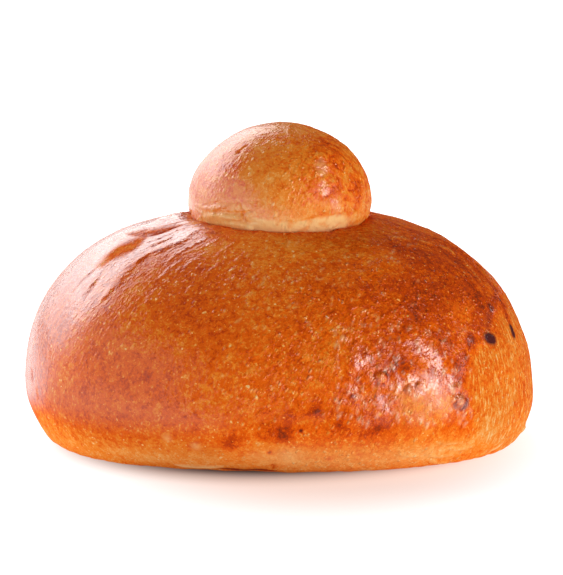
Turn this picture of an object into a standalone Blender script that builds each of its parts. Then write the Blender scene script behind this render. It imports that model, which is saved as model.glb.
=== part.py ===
"""Round enriched bread roll with a topknot, the way a baker shapes it.

A large ball of dough is pressed hollow on top, and a small ball, the topknot, is set in
the hollow. Both spread and brown in the oven. The roll stands on the flat underside that
the tray left, with its widest place low down and its front facing -Y.

Metres, +Z up. The origin is the middle of the underside's plane.
"""

import math

import bmesh
import bpy
from mathutils import Vector, noise

MM = 0.001

# Driving dimensions of the whole roll
ROLL_WIDTH = 116 * MM
ROLL_DEPTH = 106 * MM
CROWN_HEIGHT = 53.5 * MM
ROLL_HEIGHT = 72.7 * MM

# The bun's outline. Each set of four is the value at the right, back, left and front.
PLAN_EXPONENT = 2.15
FOOT_SHARE = (0.915, 0.83, 0.875, 0.80)
BELLY_HEIGHT = (10.6 * MM, 13 * MM, 12.3 * MM, 13.7 * MM)
SHOULDER_EXPONENT = (2.33, 2.30, 2.50, 2.20)
UNDERCUT_EXPONENT = (1.52, 1.45, 1.35, 1.4)

# The topknot's outline: its widest place, and how far it reaches below that
KNOT_WIDTH = 41.4 * MM
KNOT_DEPTH = 42.6 * MM
KNOT_CENTRE_X = 0.3 * MM
KNOT_WIDEST_HEIGHT = 55 * MM
KNOT_SUNK = (10.0 * MM, 10.0 * MM, 10.6 * MM, 11.6 * MM)
KNOT_DOME_EXPONENT = 2.0
KNOT_TUCK_EXPONENT = 2.6
SEAM_GAP = 0.3 * MM

# The gathers that fan out from the topknot over the left shoulder
GATHER_MIDDLE = math.radians(192)
GATHER_SPREAD = math.radians(62)
GATHER_COUNT = 30
GATHER_HEIGHT = 0.45 * MM
GATHER_INNER = 17 * MM
GATHER_OUTER = 47 * MM

# Slow unevenness of risen dough
SWELL_HEIGHT = 0.5 * MM
SWELL_LENGTH = 24 * MM
KNOT_SWELL_HEIGHT = 0.3 * MM

# Rings of the starting spheres. The bun's rings reach its belly and its foot exactly.
BUN_SEGMENTS = 120
BUN_RINGS = 34
BUN_BELLY_RING = 20
BUN_FOOT_RING = 28
KNOT_SEGMENTS = 56
KNOT_RINGS = 20

CRUST_COLOUR = (0.56, 0.19, 0.045, 1.0)
KNOT_COLOUR = (0.66, 0.27, 0.07, 1.0)
CRUST_ROUGHNESS = 0.38
KNOT_ROUGHNESS = 0.45


def clear_scene():
    for old in list(bpy.data.objects):
        bpy.data.objects.remove(old, do_unlink=True)


def new_collection(name):
    collection = bpy.data.collections.new(name)
    bpy.context.scene.collection.children.link(collection)
    return collection


def crust_material(name, colour, roughness):
    material = bpy.data.materials.new(name)
    material.use_nodes = True
    shader = material.node_tree.nodes["Principled BSDF"]
    shader.inputs["Base Color"].default_value = colour
    shader.inputs["Roughness"].default_value = roughness
    shader.inputs["Metallic"].default_value = 0.0
    material.diffuse_color = colour
    return material


def around(angle, values):
    """A value that runs smoothly through the four given at the right, back, left and front."""
    right, back, left, front = values
    cosine, sine = math.cos(angle), math.sin(angle)
    side = right if cosine > 0 else left
    face = back if sine > 0 else front
    return side * cosine * cosine + face * sine * sine


def smooth_window(value, low, high, fade):
    """1 between low and high, and 0 from a fade's length outside them."""
    rise = min(1.0, max(0.0, (value - low) / fade + 1))
    fall = min(1.0, max(0.0, (high - value) / fade + 1))
    share = min(rise, fall)
    return share * share * (3 - 2 * share)


def superellipse_radius(angle, half_x, half_y, exponent):
    across = abs(math.cos(angle) / half_x) ** exponent
    along = abs(math.sin(angle) / half_y) ** exponent
    return (across + along) ** (-1 / exponent)


def quarter(share, exponent):
    """(across, up) of a superellipse's quarter, from its side at share 0 to its top at share 1."""
    turn = share * math.pi / 2
    return max(0.0, math.cos(turn)) ** (2 / exponent), math.sin(turn) ** (2 / exponent)


def bun_point(angle, ring):
    """The bun's surface at this angle: ring 0 is the crown's middle, the last ring the underside's."""
    belly = superellipse_radius(angle, ROLL_WIDTH / 2, ROLL_DEPTH / 2, PLAN_EXPONENT)
    belly_height = around(angle, BELLY_HEIGHT)
    foot = belly * around(angle, FOOT_SHARE)
    if ring <= BUN_BELLY_RING:
        share = 1 - ring / BUN_BELLY_RING
        across, up = quarter(share, around(angle, SHOULDER_EXPONENT))
        radius = belly * across
        height = belly_height + (CROWN_HEIGHT - belly_height) * up
    elif ring <= BUN_FOOT_RING:
        share = (ring - BUN_BELLY_RING) / (BUN_FOOT_RING - BUN_BELLY_RING)
        across, down = quarter(share, around(angle, UNDERCUT_EXPONENT))
        radius = foot + (belly - foot) * across
        height = belly_height * (1 - down)
    else:
        radius = foot * (BUN_RINGS - ring) / (BUN_RINGS - BUN_FOOT_RING)
        height = 0.0
    return Vector((radius * math.cos(angle), radius * math.sin(angle), height))


def gather_height(point):
    """How far the fan of gathers lifts the left shoulder at this point."""
    radius = math.hypot(point.x - KNOT_CENTRE_X, point.y)
    angle = math.atan2(point.y, point.x - KNOT_CENTRE_X) % math.tau
    beside = smooth_window(
        angle, GATHER_MIDDLE - GATHER_SPREAD / 2, GATHER_MIDDLE + GATHER_SPREAD / 2, 0.35
    )
    outward = smooth_window(radius, GATHER_INNER, GATHER_OUTER, 8 * MM)
    if point.z < 2 * BELLY_HEIGHT[2]:
        return 0.0
    wander = 0.25 * noise.noise(point / SWELL_LENGTH)
    return GATHER_HEIGHT * beside * outward * math.sin(GATHER_COUNT * (angle + wander))


def swollen(point, outward, height):
    """The point moved by the dough's slow swelling, which fades to nothing at the underside."""
    hold = min(1.0, point.z / (8 * MM))
    return point + outward * (height * hold * noise.noise(point / SWELL_LENGTH))


def shape_sphere(mesh, rings, place):
    """Moves each vertex of a unit UV sphere to place(angle, ring)."""
    for vertex in mesh.verts:
        across = math.hypot(vertex.co.x, vertex.co.y)
        polar = math.atan2(across, vertex.co.z)
        ring = round(polar / math.pi * rings)
        angle = math.atan2(vertex.co.y, vertex.co.x) if across > 1e-6 else 0.0
        vertex.co = place(angle, ring)


def new_object(name, mesh, collection, material=None):
    data = bpy.data.meshes.new(name)
    mesh.to_mesh(data)
    mesh.free()
    made = bpy.data.objects.new(name, data)
    collection.objects.link(made)
    if material is not None:
        data.materials.append(material)
    data.shade_smooth()
    data.set_sharp_from_angle(angle=math.radians(50))
    return made


def knot_point(angle, ring, grown=0.0):
    """The topknot's surface: a dome above its widest place, and a tuck below it, grown outwards."""
    half_width = KNOT_WIDTH / 2 + grown
    half_depth = KNOT_DEPTH / 2 + grown
    widest = superellipse_radius(angle, half_width, half_depth, 2.0)
    share = 1 - 2 * ring / KNOT_RINGS
    if share >= 0:
        across, up = quarter(share, KNOT_DOME_EXPONENT)
        rise = (ROLL_HEIGHT - KNOT_WIDEST_HEIGHT + grown) * up
    else:
        across, down = quarter(-share, KNOT_TUCK_EXPONENT)
        rise = -(around(angle, KNOT_SUNK) * (1 - down) + max(KNOT_SUNK) * down + grown) * down
    radius = widest * across
    return Vector(
        (
            KNOT_CENTRE_X + radius * math.cos(angle),
            radius * math.sin(angle),
            KNOT_WIDEST_HEIGHT + rise,
        )
    )


def knot_mesh(grown=0.0):
    mesh = bmesh.new()
    bmesh.ops.create_uvsphere(mesh, u_segments=KNOT_SEGMENTS, v_segments=KNOT_RINGS, radius=1)
    shape_sphere(mesh, KNOT_RINGS, lambda angle, ring: knot_point(angle, ring, grown))
    middle = Vector((KNOT_CENTRE_X, 0, KNOT_WIDEST_HEIGHT))
    for vertex in mesh.verts:
        outward = (vertex.co - middle).normalized()
        vertex.co = swollen(vertex.co, outward, KNOT_SWELL_HEIGHT)
    return mesh


def bun_mesh():
    mesh = bmesh.new()
    bmesh.ops.create_uvsphere(mesh, u_segments=BUN_SEGMENTS, v_segments=BUN_RINGS, radius=1)
    shape_sphere(mesh, BUN_RINGS, bun_point)
    middle = Vector((0, 0, BELLY_HEIGHT[0]))
    for vertex in mesh.verts:
        if vertex.co.z < 1e-6:
            continue
        outward = (vertex.co - middle).normalized()
        gathered = vertex.co + outward * gather_height(vertex.co)
        vertex.co = swollen(gathered, outward, SWELL_HEIGHT)
    return mesh


def press_hollow(bun, cutter):
    hollow = bun.modifiers.new("topknot_hollow", "BOOLEAN")
    hollow.operation = "DIFFERENCE"
    hollow.solver = "EXACT"
    hollow.object = cutter


def build():
    clear_scene()
    roll = new_collection("bread_roll")
    cutters = new_collection("cutters")

    bun = new_object(
        "bun", bun_mesh(), roll, crust_material("bun_crust", CRUST_COLOUR, CRUST_ROUGHNESS)
    )
    new_object(
        "topknot", knot_mesh(), roll, crust_material("knot_crust", KNOT_COLOUR, KNOT_ROUGHNESS)
    )

    hollow_cutter = new_object("hollow_cutter", knot_mesh(SEAM_GAP), cutters)
    hollow_cutter.hide_render = True
    hollow_cutter.display_type = "WIRE"
    press_hollow(bun, hollow_cutter)


build()
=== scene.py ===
"""Round enriched bread roll with a topknot: its crust, its egg-wash glaze and a plain studio.

The bun and the topknot are dense skins over the frame's two solids. Each skin is a grid
of rings and segments that is shaped by formulas, then worked: gathers, creases,
blisters and dents are strokes whose places are pixels of the photograph, cast onto the
skin from the camera. The same strokes carry the browning and the gloss as attributes,
and at some places painted shade and painted highlights in the crust's colour.
"""

import math
from collections import namedtuple

import bmesh
import bpy
import numpy as np
from bpy.props import FloatProperty, FloatVectorProperty, PointerProperty
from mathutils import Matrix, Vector, kdtree, noise
from mathutils.bvhtree import BVHTree


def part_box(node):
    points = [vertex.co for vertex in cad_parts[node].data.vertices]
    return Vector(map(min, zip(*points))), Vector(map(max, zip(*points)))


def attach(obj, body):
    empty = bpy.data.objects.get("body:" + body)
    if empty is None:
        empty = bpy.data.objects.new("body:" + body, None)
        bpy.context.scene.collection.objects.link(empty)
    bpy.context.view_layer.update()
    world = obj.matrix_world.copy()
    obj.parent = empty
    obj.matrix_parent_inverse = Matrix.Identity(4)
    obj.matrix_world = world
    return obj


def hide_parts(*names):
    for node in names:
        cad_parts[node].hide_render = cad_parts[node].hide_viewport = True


bl_info = {
    "name": "Topknotted Bread Roll",
    "version": (1, 0, 0),
    "blender": (4, 5, 0),
    "location": "View3D > Sidebar > Bread Roll",
    "description": "Builds a glazed, topknotted bread roll and the studio it stands in",
    "category": "Add Mesh",
}

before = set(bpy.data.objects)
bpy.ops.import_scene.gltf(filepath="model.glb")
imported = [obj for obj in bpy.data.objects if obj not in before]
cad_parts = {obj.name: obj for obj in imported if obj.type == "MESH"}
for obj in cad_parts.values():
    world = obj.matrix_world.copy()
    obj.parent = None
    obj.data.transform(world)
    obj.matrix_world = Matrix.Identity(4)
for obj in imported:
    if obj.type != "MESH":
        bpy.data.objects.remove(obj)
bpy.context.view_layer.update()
BUN_LOW, BUN_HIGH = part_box("bun")
KNOT_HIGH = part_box("topknot")[1]

MM = 0.001

# The photograph's frame, in pixels, and the camera that took it
PHOTO_WIDTH = 563
PHOTO_HEIGHT = 575
CAMERA_LENS_MM = 200.0
CAMERA_SENSOR_MM = 36.0
CAMERA_TILT = math.radians(8)
CAMERA_DISTANCE = 730.3 * MM
CAMERA_AIM = Vector((0.66 * MM, 0.0, 34.9 * MM))
PIXELS_PER_UNIT = CAMERA_LENS_MM / CAMERA_SENSOR_MM * PHOTO_HEIGHT

# The bun's form. Each set of four is the value at the right, back, left and front.
BUN_HALF_WIDTH = (BUN_HIGH.x - BUN_LOW.x) / 2
BUN_HALF_DEPTH = (BUN_HIGH.y - BUN_LOW.y) / 2
CROWN_HEIGHT = 53.5 * MM
PLAN_EXPONENT = 2.15
FOOT_SHARE = (0.915, 0.83, 0.875, 0.80)
BELLY_HEIGHT = (10.6 * MM, 13 * MM, 12.3 * MM, 11.5 * MM)
SHOULDER_EXPONENT = (2.33, 2.30, 2.50, 2.08)
UNDERCUT_EXPONENT = (1.52, 1.45, 1.35, 1.4)

# The topknot's form
KNOT_CENTRE = Vector((0.3 * MM, 0.0, 55 * MM))
KNOT_HALF_WIDTH = 20.7 * MM
KNOT_HALF_DEPTH = 21.3 * MM
KNOT_RISE = KNOT_HIGH.z - KNOT_CENTRE.z
KNOT_SUNK = 10 * MM
KNOT_TUCK_EXPONENT = 2.6

# How far the bun's skin stays below the topknot's, and how it rounds down into the seam
SEAM_GAP = 0.4 * MM
SEAM_DIP = 0.15 * MM
SEAM_DIP_WIDTH = 0.6 * MM
CROWN_FROM = 35 * MM

# How far the front of the foot curls up off the table
FOOT_GAP = 0.25 * MM

GRAIN_GROUP = "baked_crust_grain"

# Where the skins' profiles turn, as shares of the way from the crown to the underside
BELLY = 1.0
FOOT = 2.0
UNDERSIDE = 3.0

BUN_SEGMENTS = 560
BUN_RINGS = 176
KNOT_SEGMENTS = 420
KNOT_RINGS = 200
FRONT_CROWDING = 0.4

# The streaks where the crust was drawn out are noise on a cylinder of this radius, as many
# times longer down the skin as they are wide
STREAK_RADIUS = 50 * MM
STREAK_STRETCH = 4.5

# A shaken copy of each skin gives what is drawn on it an uneven outline
WANDER_LENGTH = 3 * MM
WANDER_REACH = 0.35 * MM
WANDER_SEEDS = (21, 22, 23)

# What a skin carries at each vertex besides its place: how far it is lifted, how dark, how
# glossy, how burnt and how pale it is, how rough its fine relief is, and how much it is streaked.
# Darkness, burn and paleness are mostly the crust's own colour; at some strokes they are
# painted shade and painted highlights.
FIELDS = ("lift", "bake", "gloss", "scorch", "pale", "grit", "streak")
PLAIN = (0.0,) * len(FIELDS)
Skin = namedtuple("Skin", "mesh points normals drawn wander tree fields")

# Ways of working a skin. Pixels are the photograph's; widths, radii, feathers and lifts are in
# millimetres. A stroke's edge is 2 for a soft one and more for a flat one with a clear outline,
# which past SHARP_EDGE isn't shaken. Its ends narrow to TIP_SHARE of its width.
SHARP_EDGE = 3.0
TIP_SHARE = 0.3
TAPER_POWER = 0.7
Stroke = namedtuple("Stroke", ("pixels", "width", "edge", *FIELDS), defaults=(2.0, *PLAIN))
Patch = namedtuple("Patch", ("outline", "feather", *FIELDS), defaults=PLAIN)
Blister = namedtuple("Blister", "pixel radius height bake scorch ring", defaults=(0.0, 0.0, 0.15))
Glints = namedtuple("Glints", "seed count low high lean half bake pale")
GLINT_WIDTH = (0.22, 0.36)
GLINT_LIFT = (0.05, 0.13)


def smooth_step(value, low, high):
    """0 below low, 1 above high and a smooth rise between, also where high is the lower."""
    share = np.clip((value - low) / (high - low), 0.0, 1.0)
    return share * share * (3 - 2 * share)


def around(angle, values):
    """A value that runs smoothly through the four given at the right, back, left and front."""
    right, back, left, front = values
    cosine, sine = np.cos(angle), np.sin(angle)
    side = np.where(cosine > 0, right, left)
    face = np.where(sine > 0, back, front)
    return side * cosine**2 + face * sine**2


def noise_field(points, length, seed=0):
    """Smooth noise from about -1 to 1 with lumps of this length."""
    shift = Vector((17.3, 9.1, 5.7)) * seed
    return np.array([noise.noise(Vector(point) + shift) for point in points / length])


def ridge_field(points, length, seed=0):
    """Noise from 0 to 1 that is 1 along thin wandering lines."""
    return 1 - np.abs(noise_field(points, length, seed)).clip(0, 0.5) * 2


def quarter(turn, exponent):
    """(across, up) on a superellipse's quarter, from its side at 0 to its top at a right angle."""
    return np.cos(turn).clip(0) ** (2 / exponent), np.sin(turn).clip(0) ** (2 / exponent)


def bun_form(share, angle):
    """(radius, height) of the bun where its profile's share and its azimuth are these."""
    across = np.abs(np.cos(angle) / BUN_HALF_WIDTH) ** PLAN_EXPONENT
    along = np.abs(np.sin(angle) / BUN_HALF_DEPTH) ** PLAN_EXPONENT
    belly = (across + along) ** (-1 / PLAN_EXPONENT)
    foot = belly * around(angle, FOOT_SHARE)
    belly_height = around(angle, BELLY_HEIGHT)
    right_angle = math.pi / 2
    out, up = quarter(
        (BELLY - share.clip(0, BELLY)) * right_angle, around(angle, SHOULDER_EXPONENT)
    )
    tuck, down = quarter(
        (share - BELLY).clip(0, 1) * right_angle, around(angle, UNDERCUT_EXPONENT)
    )
    radius = np.where(share < BELLY, belly * out, foot + (belly - foot) * tuck)
    radius = np.where(share > FOOT, foot * (UNDERSIDE - share), radius)
    height = np.where(
        share < BELLY, belly_height + (CROWN_HEIGHT - belly_height) * up, belly_height * (1 - down)
    )
    return radius, np.where(share > FOOT, 0.0, height)


def knot_form(share, angle):
    """(radius, height) of the topknot: share 0 is its top, 1 its widest place and 2 its lowest."""
    widest = 1 / np.hypot(np.cos(angle) / KNOT_HALF_WIDTH, np.sin(angle) / KNOT_HALF_DEPTH)
    right_angle = math.pi / 2
    out, up = quarter((BELLY - share.clip(0, BELLY)) * right_angle, 2.0)
    tuck, down = quarter((share - BELLY).clip(0, 1) * right_angle, KNOT_TUCK_EXPONENT)
    radius = widest * np.where(share < BELLY, out, tuck)
    height = KNOT_CENTRE.z + np.where(share < BELLY, KNOT_RISE * up, -KNOT_SUNK * down)
    return radius, height


def even_shares(form, rings, stops, weights):
    """Shares of a profile whose rings lie evenly along it, closer where the weights are more."""
    shares = np.linspace(0, stops[-1], 4001)
    radius, height = form(shares, np.full_like(shares, -math.pi / 2))
    lengths = np.hypot(np.diff(radius), np.diff(height))
    crowding = np.interp(shares[1:], stops, weights)
    travelled = np.concatenate([[0], np.cumsum(lengths * crowding)])
    return np.interp(np.linspace(0, travelled[-1], rings + 1), travelled, shares)


def soften_rings(grid, sigma):
    """Averages each ring with its neighbours, which rounds the corners of a profile."""
    reach = int(3 * sigma)
    weights = np.exp(-0.5 * (np.arange(-reach, reach + 1) / sigma) ** 2)
    weights /= weights.sum()
    padded = np.concatenate([grid[:1].repeat(reach, 0), grid, grid[-1:].repeat(reach, 0)])
    return sum(weight * padded[i : i + len(grid)] for i, weight in enumerate(weights))


def grid_normals(grid, middle):
    """Outward normals of a grid of rings and segments that closes round on itself."""
    down = np.gradient(grid, axis=0)
    beside = np.roll(grid, -1, axis=1) - np.roll(grid, 1, axis=1)
    normals = np.cross(down, beside)
    lengths = np.linalg.norm(normals, axis=2, keepdims=True)
    outward = grid - middle
    outward /= np.linalg.norm(outward, axis=2, keepdims=True).clip(1e-9)
    normals = np.where(lengths > 1e-12, normals / lengths.clip(1e-12), outward)
    facing = np.sign((normals * outward).sum(2, keepdims=True))
    return normals * np.where(facing == 0, 1, facing)


def round_grid(rings, segments):
    """A grid rolled round into a closed unit sphere, with one vertex at each pole."""
    mesh = bmesh.new()
    bmesh.ops.create_grid(mesh, x_segments=segments, y_segments=rings, size=0.5)
    for vertex in mesh.verts:
        turn = (vertex.co.x + 0.5) * math.tau
        polar = (0.5 - vertex.co.y) * math.pi
        across = math.sin(polar)
        vertex.co = (across * math.cos(turn), across * math.sin(turn), math.cos(polar))
    bmesh.ops.remove_doubles(mesh, verts=mesh.verts, dist=1e-6)
    return mesh


def make_skin(form, rings, segments, shares, centre, sigma):
    """A dense closed skin whose vertices lie on the form, ready for the sculpting."""
    mesh = round_grid(rings, segments)
    unit = np.array([vertex.co for vertex in mesh.verts])
    across = np.hypot(unit[:, 0], unit[:, 1])
    ring = np.rint(np.arctan2(across, unit[:, 2]) / math.pi * rings).astype(int)
    turn = np.where(across > 1e-6, np.arctan2(unit[:, 1], unit[:, 0]), 0.0) % math.tau
    segment = np.rint(turn / math.tau * segments).astype(int) % segments

    index_angle = np.arange(segments) / segments * math.tau
    angle = index_angle - FRONT_CROWDING * np.cos(index_angle)
    share_grid, angle_grid = np.meshgrid(shares, angle, indexing="ij")
    radius, height = form(share_grid, angle_grid)
    grid = np.stack(
        [centre.x + radius * np.cos(angle_grid), centre.y + radius * np.sin(angle_grid), height],
        axis=2,
    )
    grid = soften_rings(grid, sigma)
    middle = np.array([centre.x, centre.y, grid[..., 2].mean()])
    normals = grid_normals(grid, middle)[ring, segment]
    points = grid[ring, segment]
    for vertex, place in zip(mesh.verts, points):
        vertex.co = place

    steps = np.linalg.norm(np.diff(grid, axis=0), axis=2).mean(1)
    travelled = np.concatenate([[0], np.cumsum(steps)])[ring]
    drawn = np.stack(
        [
            STREAK_RADIUS * np.cos(angle[segment]),
            STREAK_RADIUS * np.sin(angle[segment]),
            travelled / STREAK_STRETCH,
        ],
        axis=1,
    )
    shake = [noise_field(points, WANDER_LENGTH, seed) for seed in WANDER_SEEDS]
    wander = points + WANDER_REACH * np.stack(shake, axis=1)
    fields = {name: np.zeros(len(points)) for name in FIELDS}
    return Skin(mesh, points, normals, drawn, wander, BVHTree.FromBMesh(mesh), fields)


def camera_axes():
    """(place, right, up, forward) of the camera."""
    forward = Vector((0.0, math.cos(CAMERA_TILT), -math.sin(CAMERA_TILT)))
    right = Vector((1.0, 0.0, 0.0))
    return CAMERA_AIM - forward * CAMERA_DISTANCE, right, right.cross(forward), forward


def spot(skin, pixel):
    """The place on the skin that the photograph shows at this pixel, or the nearest to it."""
    place, right, up, forward = camera_axes()
    across = (pixel[0] - PHOTO_WIDTH / 2) / PIXELS_PER_UNIT
    above = (PHOTO_HEIGHT / 2 - pixel[1]) / PIXELS_PER_UNIT
    direction = (forward + right * across + up * above).normalized()
    hit = skin.tree.ray_cast(place, direction)[0]
    if hit is None:
        hit = skin.tree.find_nearest(place + direction * CAMERA_DISTANCE)[0]
    return np.array(hit)


def pixels_of(points):
    """The photograph's pixel at which each place shows."""
    place, right, up, forward = (np.array(axis) for axis in camera_axes())
    seen = points - place
    depth = seen @ forward
    across = PHOTO_WIDTH / 2 + seen @ right / depth * PIXELS_PER_UNIT
    down = PHOTO_HEIGHT / 2 - seen @ up / depth * PIXELS_PER_UNIT
    return np.stack([across, down], axis=1)


def path_distance(points, path):
    """(distance, share along) from each point to a path of places."""
    lengths = np.linalg.norm(np.diff(path, axis=0), axis=1)
    starts = np.concatenate([[0], np.cumsum(lengths)])
    nearest = np.full(len(points), np.inf)
    along = np.zeros(len(points))
    for start, end, length, before in zip(path[:-1], path[1:], lengths, starts):
        step = end - start
        share = ((points - start) @ step / max(length**2, 1e-12)).clip(0, 1)
        distance = np.linalg.norm(points - start - share[:, None] * step, axis=1)
        closer = distance < nearest
        nearest = np.where(closer, distance, nearest)
        along = np.where(closer, before + share * length, along)
    return nearest, along / max(starts[-1], 1e-12)


def rounded(path):
    """The path with its corners cut twice, which rounds it."""
    for _ in range(2):
        cut = [path[0]]
        for start, end in zip(path[:-1], path[1:]):
            cut += [0.75 * start + 0.25 * end, 0.25 * start + 0.75 * end]
        path = np.array([*cut, path[-1]])
    return path


def add_fields(skin, tool, strength):
    """Adds what the stroke or patch does, times its strength at each vertex."""
    for name in FIELDS:
        amount = getattr(tool, name)
        if amount:
            scale = MM if name == "lift" else 1.0
            skin.fields[name] += amount * scale * strength


def draw_path(skin, path, stroke):
    """Works the skin along a path: fully on its line, less over its width and to its ends."""
    middle = path.mean(0)
    reach = np.linalg.norm(path - middle, axis=1).max() + 3 * stroke.width * MM
    places = skin.points if stroke.edge > SHARP_EDGE else skin.wander
    chosen = np.linalg.norm(places - middle, axis=1) < reach
    if not chosen.any():
        return
    width = stroke.width * MM
    if len(path) == 1:
        distance = np.linalg.norm(places[chosen] - middle, axis=1)
    else:
        distance, along = path_distance(places[chosen], rounded(path))
        fullness = np.sin(math.pi * along) ** TAPER_POWER
        width = width * (TIP_SHARE + (1 - TIP_SHARE) * fullness)
    strength = np.zeros(len(skin.points))
    strength[chosen] = np.exp(-((distance / width) ** stroke.edge))
    add_fields(skin, stroke, strength)


def draw_strokes(skin, drawn):
    """Works the skin along each stroke's path of pixels."""
    for stroke in drawn:
        draw_path(skin, np.array([spot(skin, pixel) for pixel in stroke.pixels]), stroke)


def strokes(fields, *rows):
    """Strokes from rows of a pixel or a path of pixels, a width, and values for the fields."""
    made = []
    for pixels, width, *values in rows:
        path = pixels if isinstance(pixels[0], tuple) else (pixels,)
        made.append(Stroke(path, width, **dict(zip(fields.split(), values))))
    return tuple(made)


def alike(width, fields, *paths):
    """Strokes along several paths of pixels with the same width and fields."""
    return tuple(Stroke(path, width, **fields) for path in paths)


def scatter_glints(skin, glints):
    """Short fine ridges in the glaze, thrown at random between two pixels, each painted paler as a
    painted highlight.
    """
    draw = np.random.default_rng(glints.seed)
    for _ in range(glints.count):
        x, y = draw.uniform(glints.low, glints.high)
        lean, half = draw.normal(glints.lean, 1.2), draw.uniform(*glints.half)
        ridge = Stroke(
            ((x - lean, y - half), (x, y), (x + lean, y + half)),
            draw.uniform(*GLINT_WIDTH),
            lift=draw.uniform(*GLINT_LIFT),
            bake=glints.bake,
            gloss=0.7,
            pale=glints.pale,
        )
        draw_strokes(skin, [ridge])


def lay_patches(skin, patches):
    """Works the part of the skin that shows inside each outline of pixels."""
    pixels = pixels_of(skin.wander)
    towards = np.array(camera_axes()[0]) - skin.points
    towards /= np.linalg.norm(towards, axis=1, keepdims=True)
    facing = smooth_step((skin.normals * towards).sum(1), -0.25, 0.0)
    pixels_per_mm = PIXELS_PER_UNIT * MM / CAMERA_DISTANCE
    for patch in patches:
        corners = np.array(patch.outline, dtype=float)
        closed = np.concatenate([corners, corners[:1]])
        distance, _ = path_distance(pixels, closed)
        inside = np.zeros(len(pixels), dtype=bool)
        for (x0, y0), (x1, y1) in zip(closed[:-1], closed[1:]):
            crosses = (y0 > pixels[:, 1]) != (y1 > pixels[:, 1])
            if y0 != y1:
                crossing = x0 + (pixels[:, 1] - y0) * (x1 - x0) / (y1 - y0)
                inside ^= crosses & (pixels[:, 0] < crossing)
        depth = np.where(inside, distance, -distance) / pixels_per_mm
        feather = patch.feather * MM
        add_fields(skin, patch, facing * smooth_step(depth * MM, -feather, feather))


def raise_blister(skin, centre, blister):
    """A bubble in the crust: a dome with a browned ring pressed in round it."""
    distance = np.linalg.norm(skin.wander - centre, axis=1) / (blister.radius * MM)
    near = distance < 3
    distance[near] *= 1 + 0.3 * noise_field(skin.points[near], 1.3 * MM, 19)
    dome = np.sqrt((1 - distance**2).clip(0, 1))
    ring = np.exp(-(((distance - 1.05) / 0.28) ** 2))
    skin.fields["lift"] += blister.height * MM * (dome - 0.2 * ring)
    skin.fields["bake"] += blister.bake * dome + blister.ring * ring
    skin.fields["scorch"] += blister.scorch * dome
    skin.fields["gloss"] += 0.4 * dome
    skin.fields["grit"] += 0.5 * dome


def scatter_blisters(skin, count, seed, low, high, height, region):
    """Small round bubbles at random places, where region (0 to 1 at each vertex) lets them be."""
    draw = np.random.default_rng(seed)
    centres = draw.choice(len(skin.points), size=count, replace=False, p=region / region.sum())
    tree = kdtree.KDTree(len(skin.points))
    for index, point in enumerate(skin.wander):
        tree.insert(point, index)
    tree.balance()
    for centre in centres:
        radius = draw.uniform(low, high)
        tall = height * draw.uniform(0.4, 1.0)
        for _, index, distance in tree.find_range(skin.points[centre], 2 * radius):
            skin.fields["lift"][index] += tall * math.exp(-1.5 * (distance / radius) ** 2)


def swell(skin, amount, length, seed):
    """Adds the slow unevenness of risen dough, which fades away at the underside."""
    hold = smooth_step(skin.points[:, 2], 0.5 * MM, 8 * MM)
    skin.fields["lift"] += amount * hold * noise_field(skin.points, length, seed)


def ripple_fan(skin, middle, reach, heading, spacing, length, height, seed):
    """Fine wrinkles that all run one way, in a patch round a pixel of the photograph."""
    centre = spot(skin, middle)
    distance = np.linalg.norm(skin.points - centre, axis=1)
    strength = np.exp(-((distance / reach) ** 4))
    chosen = strength > 0.01
    points = skin.points[chosen]
    along = points[:, 0] * math.cos(heading) + points[:, 1] * math.sin(heading)
    across = points[:, 1] * math.cos(heading) - points[:, 0] * math.sin(heading)
    stretched = np.stack([across / spacing, along / length, points[:, 2] / length], axis=1)
    broken = smooth_step(noise_field(points, 5 * MM, seed + 1), -0.2, 0.3)
    waves = ridge_field(stretched, 1.0, seed) ** 2 - 0.4
    skin.fields["lift"][chosen] += height * strength[chosen] * broken * waves


def finish_skin(skin, name, node, material):
    """Moves the vertices by the skin's lift, stores its fields and makes the piece."""
    placed = skin.points + skin.normals * skin.fields["lift"][:, None]
    placed[:, 2] = placed[:, 2].clip(0)
    for vertex, place in zip(skin.mesh.verts, placed):
        vertex.co = place
    bmesh.ops.recalc_face_normals(skin.mesh, faces=skin.mesh.faces)
    data = bpy.data.meshes.new(name)
    skin.mesh.to_mesh(data)
    skin.mesh.free()
    for field in FIELDS[1:]:
        layer = data.attributes.new(field, "FLOAT", "POINT")
        layer.data.foreach_set("value", skin.fields[field].astype(np.float32))
    layer = data.attributes.new("drawn", "FLOAT_VECTOR", "POINT")
    layer.data.foreach_set("vector", skin.drawn.astype(np.float32).ravel())
    data.shade_smooth()
    data.materials.append(material)
    piece = bpy.data.objects.new(name, data)
    bpy.context.scene.collection.objects.link(piece)
    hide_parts(node)
    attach(piece, "root")


# The rows of strokes below hold a pixel or a path, a width, and the fields named above them.
# Gathers that flow from the topknot over the left shoulder: dull grooves between lit folds
LEFT_GROOVES = strokes(
    "lift gloss",
    (((192, 218), (180, 222), (168, 225), (153, 228)), 0.40, -0.28, -0.5),
    (((186, 224), (172, 228), (161, 233), (148, 236)), 0.45, -0.28, -0.4),
    (((150, 229), (138, 232), (125, 236)), 0.45, -0.20, -0.4),
    (((98, 265), (92, 271), (86, 277), (78, 284), (72, 292)), 0.40, -0.25, -0.5),
    (((100, 278), (94, 286), (89, 293), (84, 300)), 0.45, -0.22, -0.5),
    (((173, 237), (160, 243), (150, 247)), 0.40, -0.20, -0.3),
    (((139, 262), (131, 266), (124, 272)), 0.40, -0.16, -0.3),
    (((31, 369), (31, 375), (32, 382)), 0.35, -0.30, -0.7),
    (((36, 386), (36, 392), (37, 399)), 0.35, -0.30, -0.7),
)
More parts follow.
